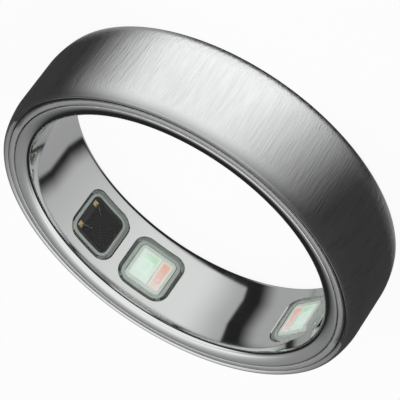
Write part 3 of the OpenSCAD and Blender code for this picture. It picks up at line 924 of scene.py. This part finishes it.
def package_piece(name, side, middle):
    """A square block whose front is cut up and pressed in to leave two wells."""
    mesh = bmesh.new()
    block(mesh, PACKAGE_W, PACKAGE_W, FRONT, SENSOR_BACK, corner=PACKAGE_ROUND)
    for across, width in WELLS:
        for end in (-1, 1):
            slit(mesh, (across + end * width / 2, 0, 0), (1, 0, 0))
    for end in (-1, 1):
        slit(mesh, (0, end * WELL_L / 2, 0), (0, 1, 0))
    floors = []
    for face in mesh.faces:
        spot = face.calc_center_median() / MM
        inside = any(abs(spot.x - across) < width / 2 for across, width in WELLS)
        if spot.z > FRONT - HAIR and inside and abs(spot.y) < WELL_L / 2:
            floors.append(face)
    pressed = bmesh.ops.extrude_face_region(mesh, geom=floors)
    bmesh.ops.delete(mesh, geom=floors, context="FACES_ONLY")
    low = [part for part in pressed["geom"] if isinstance(part, bmesh.types.BMVert)]
    bmesh.ops.translate(mesh, verts=low, vec=(0, 0, -WELL_DEPTH * MM))
    seat(mesh, side, middle)
    # The package finish carries a painted glow.
    add_piece(name, mesh, package)


def emitter(word, side, middle):
    """Cloudy resin in the wells, and the package round it."""
    mesh = bmesh.new()
    for across, width in WELLS:
        block(mesh, width, WELL_L, FRONT - RESIN_SUNK, FRONT - WELL_DEPTH, across)
    seat(mesh, side, middle)
    add_piece(f"{word}-emitter-resin", mesh, cloudy)
    package_piece(f"{word}-emitter-package", side, middle)

# %% [markdown]
# The detector's chip and the substrate under it are thin slabs. Two wires are bent as
# real bond wires are, in an arch from a gold pad to a small ball on the chip. An arch is
# part of a circle, so a small circle of points spun about an axis beside it gives an even
# tube.

# %% Bond pads and bond wires
CHIP_TOP = -0.1
CHIP_T = 0.2
PAD_W = 0.38
PAD_T = 0.02
PAD_ACROSS, PAD_ALONG = 1.1, 0.94
BALL_ACROSS, BALL_ALONG = 0.35, 0.62
WIRE_R = 0.03
CHIP_BALL_R, PAD_BALL_R = 0.057, 0.045
ARCH = 0.25


def bond_wire(mesh, first, last):
    """An arched tube between two places, with a ball at each end."""
    middle_point = (first + last) / 2 - Vector((0, 0, ARCH)) * MM
    axis = Vector((0, 0, 1)).cross(last - first).normalized()
    arm = first - middle_point
    swing = arm.angle(last - middle_point)
    ring = bmesh.ops.create_circle(mesh, segments=8, radius=WIRE_R * MM)["verts"]
    heading = axis.cross(arm).normalized()
    turn_to = Vector((0, 0, 1)).rotation_difference(heading).to_matrix().to_4x4()
    bmesh.ops.transform(mesh, matrix=Matrix.Translation(first) @ turn_to, verts=ring)
    loop = list({line for vertex in ring for line in vertex.link_edges})
    bmesh.ops.spin(mesh, geom=ring + loop, cent=middle_point, axis=axis, angle=swing, steps=14)
    for spot, size in ((last, CHIP_BALL_R), (first, PAD_BALL_R)):
        ball = bmesh.ops.create_uvsphere(mesh, u_segments=10, v_segments=6, radius=size * MM)
        bmesh.ops.translate(mesh, verts=ball["verts"], vec=spot)


def pads_and_wires(word, side, middle):
    """Gold pads on the substrate, and the wires that join them to the chip."""
    floor = CHIP_TOP - CHIP_T
    pads, wires = bmesh.new(), bmesh.new()
    for end in (1, -1):
        along = end * PAD_ALONG
        block(pads, PAD_W, PAD_W, floor + PAD_T, floor, PAD_ACROSS, along, 0.005)
        first = Vector((PAD_ACROSS - 0.05, along, floor + WIRE_R)) * MM
        last = Vector((BALL_ACROSS, end * BALL_ALONG, CHIP_TOP + WIRE_R)) * MM
        bond_wire(wires, first, last)
    for mesh in (pads, wires):
        seat(mesh, side, middle)
    add_piece(f"{word}-bond-pads", pads, gold)
    add_piece(f"{word}-bond-wires", wires, wire, 60)

# %% Sensors in their places
SUBSTRATE_W, SUBSTRATE_L = 2.94, 2.9


def detector(word, side, middle):
    """The chip, its substrate, and the pads and wires between them."""
    chip, base = bmesh.new(), bmesh.new()
    block(chip, CHIP_W, CHIP_L, CHIP_TOP, CHIP_TOP - CHIP_T, CHIP_ACROSS, 0, 0.01)
    block(base, SUBSTRATE_W, SUBSTRATE_L, CHIP_TOP - CHIP_T, SENSOR_BACK, corner=0.5)
    for mesh in (chip, base):
        seat(mesh, side, middle)
    add_piece(f"{word}-detector-chip", chip, silicon)
    node = f"{word}_detector_substrate"
    add_piece(f"{word}-substrate", base, substrate, node=node)
    pads_and_wires(word, side, middle)


makers = {"emitter": emitter, "detector": detector}
for word, side, kind, middle in places:
    makers[kind](word, side, middle)

# %% [markdown]
# Everything else is closed in between the two shells. It is seen only when the ring is taken
# apart, so the construction model's own solids serve, and each gets the finish of its real
# material: green boards whose tracks show through the lacquer, black moulded chips, an
# aluminium foil pouch, amber film, wound copper and dull ferrite. Fine lines over two tones
# stand for the tracks on a board and for the turns of the coil.

# %% Fine lines
def fine_lines():
    """1 on fine lines that repeat across the band, 0 between them."""
    group, chosen, result = new_group(
        "Fine lines", [("Pitch", "Float"), ("Half width", "Float")], [("Lines", "Float")],
    )
    height = parts_of(group, object_place(group))["Z"]
    saw = math_node(group, "FRACT", math_node(group, "DIVIDE", height, chosen["Pitch"]))
    from_middle = math_node(group, "ABSOLUTE", math_node(group, "SUBTRACT", saw, 0.5))
    past = math_node(group, "SUBTRACT", from_middle, chosen["Half width"])
    group.links.new(smooth(group, past, -0.06, 0.06, 1, 0), result["Lines"])
    return group


line_pattern = fine_lines()


def lined(material, pitch, share, colour):
    """Draws fine lines of another colour over a two-tone material."""
    tree = material.node_tree
    under = tree.nodes["Principled BSDF"].inputs["Base Color"].links[0].from_socket
    lines = use_group(tree, line_pattern, {"Pitch": pitch * MM, "Half width": share / 2})["Lines"]
    drive(material, "Base Color", blend(tree, lines, under, colour))
    return material


green_board = lined(
    two_tone("Green board", (0.025, 0.11, 0.05), (0.035, 0.14, 0.065), 0.4, 0.5),
    0.5, 0.35, (0.05, 0.2, 0.09),
)
wound_copper = lined(
    two_tone("Copper", (0.78, 0.4, 0.24), (0.85, 0.46, 0.3), 0.3, 0.3, metallic=1.0),
    0.12, 0.3, (0.45, 0.2, 0.1),
)
print("Lined finishes:", green_board.name, "and", wound_copper.name)

# %% Finishes of the parts inside
def pair_of(*names):
    """The left and the right node of each name."""
    return [f"{word}_{name}" for name in names for word in ("left", "right")]


inside = {
    two_tone("Black adhesive", (0.03, 0.03, 0.03), (0.045, 0.045, 0.045), 0.55, 0.2, bump=0.01):
        ["front_seal", "rear_seal"],
    green_board: [*pair_of("detector_carrier", "emitter_carrier"), "flex_board"],
    two_tone("Black plastic", (0.018, 0.018, 0.018), (0.028, 0.028, 0.028), 0.6, 0.1, bump=0.005):
        pair_of("light_barrier"),
    two_tone("Moulded chip", (0.04, 0.04, 0.043), (0.06, 0.06, 0.064), 0.65, 0.06, bump=0.004):
        ["main_processor", "memory_chip", "optical_front_end", "accelerometer", "power_chip",
         "charging_chip", "protection_chip", "inductors"],
    two_tone("Tinned metal", (0.72, 0.72, 0.71), (0.8, 0.8, 0.79), 0.32, 0.15, metallic=1.0):
        ["crystal", "battery_tabs"],
    two_tone("Fired ceramic", (0.52, 0.42, 0.3), (0.62, 0.52, 0.4), 0.5, 0.1):
        ["capacitors", *pair_of("thermistor")],
    two_tone("Soft pad", (0.45, 0.55, 0.66), (0.52, 0.62, 0.72), 0.8, 0.2, bump=0.01):
        pair_of("thermal_pad"),
    two_tone("Foil pouch", (0.68, 0.69, 0.7), (0.76, 0.77, 0.78), 0.33, 0.8,
             metallic=1.0, bump=0.03):
        ["battery"],
    two_tone("Amber film", (0.62, 0.3, 0.05), (0.72, 0.38, 0.08), 0.22, 0.6):
        ["insulating_sleeve", "coil_film", "antenna"],
    wound_copper: ["charging_coil", "coil_leads"],
    two_tone("Ferrite", (0.13, 0.125, 0.125), (0.17, 0.16, 0.16), 0.7, 0.1, bump=0.006):
        ["ferrite_sheet"],
    two_tone("Green chip", (0.12, 0.7, 0.36), (0.2, 0.8, 0.45), 0.3, 0.1,
             Emission_Color=(0.1, 0.85, 0.45, 1), Emission_Strength=0.5):
        pair_of("green_led"),
    two_tone("Red chip", (0.8, 0.14, 0.1), (0.9, 0.24, 0.18), 0.3, 0.1,
             Emission_Color=(0.95, 0.16, 0.12, 1), Emission_Strength=0.5):
        pair_of("red_led"),
    two_tone("Infrared chip", (0.4, 0.07, 0.08), (0.5, 0.1, 0.11), 0.3, 0.1):
        pair_of("infrared_led"),
}
for material, names in inside.items():
    for name in names:
        nodes[name].data.materials.clear()
        nodes[name].data.materials.append(material)
    print(material.name, "goes on", ", ".join(names))

# %% [markdown]
# Polished metal shows its surroundings, so the room matters as much as the metal. The
# room is a world of plain soft panels. Each panel is a product of soft steps in the angle
# round the ring and in the height over the horizon. Panels made of mesh would do as well,
# but the steps let every edge be as soft as it has to be. The lower edge of the front
# panel sags, and that draws the curved shadows in the bore.

# %% The room's directions
world = bpy.data.worlds.new("Studio")
bpy.context.scene.world = world
world.use_nodes = True
tree = world.node_tree


def angle_round(tree, vector, middle):
    """Degrees round the ring's axis, counted from a middle."""
    spin = add_node(tree, "ShaderNodeVectorRotate", rotation_type="Z_AXIS")
    tree.links.new(vector, spin.inputs["Vector"])
    spin.inputs["Angle"].default_value = -math.radians(middle)
    parts = parts_of(tree, spin.outputs[0])
    return math_node(tree, "DEGREES", math_node(tree, "ARCTAN2", parts["Y"], parts["X"]))


direction = add_node(tree, "ShaderNodeTexCoord").outputs["Generated"]
height = math_node(tree, "ARCSINE", parts_of(tree, direction)["Z"])
elevation = math_node(tree, "DEGREES", height)
front = angle_round(tree, direction, 45)
behind = angle_round(tree, direction, -123)
aside = angle_round(tree, direction, 180)
print("The world's directions take", len(tree.nodes), "nodes")

# %% Panels under the horizon
def panel(angle, sides, heights, level):
    """A soft rectangle of light; sides and heights are a start, an end and a softness."""
    return product(tree, between(tree, angle, *sides), between(tree, elevation, *heights), level)


off_centre = math_node(tree, "ADD", front, 12)
sag = product(tree, off_centre, off_centre, 0.0008)
big_front = product(
    tree,
    between(tree, front, -90, 80.5, 22, 3),
    smooth(tree, math_node(tree, "SUBTRACT", elevation, sag), -44.5, -42.5),
    smooth(tree, elevation, -16.5, -14.5, 1, 0),
    smooth(tree, front, -95, 12, 0.62, 1),
    smooth(tree, front, 45, 81, 1, 0.55),
    0.88,
)
grey_behind = panel(behind, (-50, 64, 6), (-60, -22, 4), 0.4)
grey_aside = panel(aside, (-35, 10, 20), (-60, -19, 8), 0.46)
low_behind = panel(behind, (-32, 32, 14), (-25, -3, 6), 0.9)
low_panels = (big_front, grey_behind, grey_aside, low_behind)
print("Panels under the horizon:", len(low_panels))

# %% Panels over the horizon, and the world itself
BACKGROUND_LEVEL = 0.02
high_front = product(
    tree, between(tree, front, -110, 110, 40), smooth(tree, elevation, 22, 30), 1.05)
rising = math_node(
    tree, "ADD",
    smooth(tree, elevation, 21, 31, 0, 0.3), smooth(tree, elevation, 31, 56, 0, 0.75),
)
high_behind = product(tree, between(tree, behind, -85, 85, 40), rising)
panels = (*low_panels, high_front, high_behind)
total = combined(tree, "MAXIMUM", BACKGROUND_LEVEL, *panels)
seen = add_node(tree, "ShaderNodeLightPath").outputs
white = math_node(tree, "MAXIMUM", seen["Is Camera Ray"], seen["Is Transmission Ray"])
mix = add_node(tree, "ShaderNodeMix", data_type="FLOAT")
tree.links.new(white, mix.inputs["Factor"])
tree.links.new(total, mix.inputs["A"])
mix.inputs["B"].default_value = 1
tree.links.new(mix.outputs["Result"], tree.nodes["Background"].inputs["Color"])
print("The world is made of", len(panels), "soft panels")

# %% [markdown]
# The brushed band is lit by a sheet of light that is wrapped closely round it, as small
# jewellery is pictured in a tent of white cloth. The sheet is seen in reflections only.
# Its brightness changes round the ring, which gives the long soft highlight. A roof over
# its top edge closes the gap at the shoulder, where a hard bright line would show.

# %% Helpers for the sheets of light
STRIP = ((13.2, -3.75), (13.5, -3.75), (13.5, 3.4))
ROOF = ((12.0, 3.75), (13.45, 3.75), (13.5, 3.4))
LIT_SIDE = 60


def sheet_of_light(name, places, start, end, material):
    """A band of light: a few points (radius, height) joined and spun over part of a turn."""
    mesh = bmesh.new()
    first, last = math.radians(start), math.radians(end)
    line = [
        mesh.verts.new((radius * MM * math.cos(first), radius * MM * math.sin(first), z * MM))
        for radius, z in places
    ]
    edges = [mesh.edges.new(pair) for pair in zip(line, line[1:])]
    bmesh.ops.spin(
        mesh, geom=line + edges, cent=(0, 0, 0), axis=(0, 0, 1), angle=last - first,
        steps=round((end - start) / 2),
    )
    piece = object_of(name, mesh)
    piece.data.materials.append(material)
    piece.visible_camera = False
    piece.visible_shadow = False
    piece.visible_diffuse = False
    piece.visible_transmission = False
    print(name, "reaches over", end - start, "degrees")


def glow(name):
    """A dark material that shines; also its angle from the lit side's middle, and its place."""
    material = new_material(name, (0.01, 0.01, 0.01), 1.0, Emission_Color=(1, 1, 1, 1))
    tree = material.node_tree
    place = object_place(tree)
    return material, tree, angle_round(tree, place, LIT_SIDE), parts_of(tree, place)

# %% Light strip
LEAN = 1.3
strip_light, tree, turned, parts = glow("Light strip")
leaning = math_node(tree, "MULTIPLY", parts["Z"], LEAN / MM)
slant = math_node(tree, "SUBTRACT", turned, leaning)
bell = product(
    tree,
    smooth(tree, slant, -37, 6),
    smooth(tree, turned, 26, 60, 1, 0),
    smooth(tree, parts["Z"], -4 * MM, 2 * MM, 1.04, 0.92),
    smooth(tree, parts["Z"], 2.1 * MM, 3.4 * MM, 1, 0.5),
    1.45,
)
far_side = smooth(tree, math_node(tree, "ABSOLUTE", turned), 115, 180, 0, 0.45)
levels = (
    bell, smooth(tree, turned, -132, -96, 0.5, 0), smooth(tree, turned, 87, 140, 0, 0.5),
    far_side, 0.045,
)
drive(strip_light, "Emission Strength", combined(tree, "ADD", *levels))
sheet_of_light("Light strip", STRIP, -120, 240, strip_light)

# %% Roof over the strip
roof_light, tree, turned, parts = glow("Strip roof")
squares = [math_node(tree, "MULTIPLY", parts[axis], parts[axis]) for axis in "XY"]
off_axis = math_node(tree, "SQRT", math_node(tree, "ADD", *squares))
bell = product(
    tree,
    smooth(tree, turned, -35, 2),
    smooth(tree, turned, 24, 62, 1, 0),
    smooth(tree, off_axis, 12.2 * MM, 13.5 * MM, 0.12, 0.8),
)
drive(roof_light, "Emission Strength", math_node(tree, "ADD", bell, 0.04))
sheet_of_light("Strip roof", ROOF, -30, 148, roof_light)

# %% [markdown]
# The ring lies on a plain pale floor. The lights could make it white, but then they would
# be too strong for the metal, so the floor's own colour does it where the camera looks at
# it. It is left out of reflections, where the panels stand in.

# %% Floor
FLOOR_HALF = 2
SEEN_WHITE = 0.93
sheet = bmesh.new()
bmesh.ops.create_grid(sheet, x_segments=1, y_segments=1, size=FLOOR_HALF)
bmesh.ops.translate(sheet, verts=sheet.verts[:], vec=(0, 0, -HALF_W * MM))
floor = object_of("Floor", sheet)
floor.visible_glossy = False
floor.visible_shadow = False
print("The floor lies", HALF_W, "mm under the middle of the ring")

# %% Colour of the floor
pale = new_material("Pale floor", (0.9, 0.9, 0.9), 1.0)
tree = pale.node_tree
seen = add_node(tree, "ShaderNodeLightPath").outputs["Is Camera Ray"]
lit = add_node(tree, "ShaderNodeEmission")
mixed = add_node(tree, "ShaderNodeMixShader")
tree.links.new(math_node(tree, "MULTIPLY", seen, SEEN_WHITE), mixed.inputs["Fac"])
tree.links.new(tree.nodes["Principled BSDF"].outputs["BSDF"], mixed.inputs[1])
tree.links.new(lit.outputs["Emission"], mixed.inputs[2])
tree.links.new(mixed.outputs["Shader"], tree.nodes["Material Output"].inputs["Surface"])
floor.data.materials.append(pale)
print("The floor's finish is", pale.name)

# %% [markdown]
# The picture is shown as it is lit, without a film-like curve.

# %% Colour of the picture
bpy.context.scene.view_settings.view_transform = "Standard"
